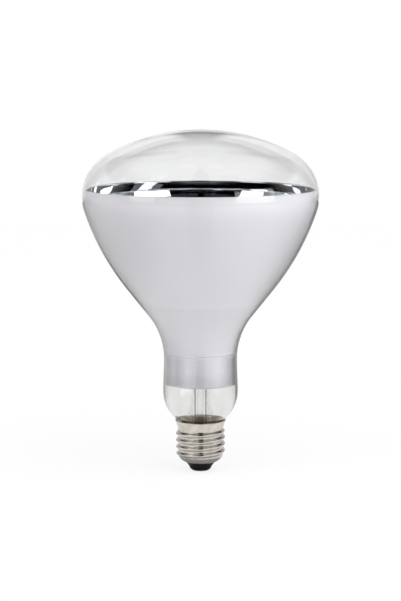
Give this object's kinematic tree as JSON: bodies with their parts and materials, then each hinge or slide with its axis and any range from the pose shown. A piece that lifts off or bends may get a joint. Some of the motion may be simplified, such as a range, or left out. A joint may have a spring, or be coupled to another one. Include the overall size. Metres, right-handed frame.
{
  "type": "infrared heat lamp bulb",
  "caption": "Infrared reflector lamp bulb: blown clear glass with a mirrored bowl and neck, a ring filament on a glass stem, and a threaded metal screw cap with a black insulator.",
  "frame": {"origin": "middle of the centre contact's flat, under the screw cap", "axes": "+Z along the lamp's axis from the cap to the crown of the dome; the solder on the cap's rim is on the -X side, turned 36 degrees towards -Y"},
  "size_m": [0.125, 0.125, 0.1824],
  "materials": {
    "clear_glass": "clear blown hard glass",
    "mirror_film": "bright metal film, satin from outside",
    "stem_glass": "clear drawn glass",
    "seal_wire": "copper-clad wire",
    "nickel_wire": "drawn nickel",
    "copper_wire": "bare copper",
    "filament_wire": "grey coiled wire",
    "support_wire": "drawn grey wire",
    "cap_metal": "nickel-plated sheet",
    "black_glass": "pressed black glass",
    "eyelet_metal": "plain pressed brass",
    "solder": "dull solder",
    "cement": "baked brown cement"
  },
  "bodies": {
    "root": {"glass_envelope": "clear_glass", "reflector_film": "mirror_film", "stem": "stem_glass", "exhaust_tube": "stem_glass", "arbor_rod": "stem_glass", "seal_wire_left": "seal_wire", "seal_wire_right": "seal_wire", "inner_lead_left": "nickel_wire", "inner_lead_right": "nickel_wire", "outer_lead_side": "copper_wire", "outer_lead_centre": "copper_wire", "filament": "filament_wire", "filament_support_1": "support_wire", "filament_support_2": "support_wire", "filament_support_3": "support_wire", "filament_support_4": "support_wire", "filament_support_5": "support_wire", "cap_shell": "cap_metal", "cap_insulator": "black_glass", "contact_eyelet": "eyelet_metal", "contact_solder": "solder", "side_solder": "solder", "basing_cement": "cement"}
  },
  "joints": []
}
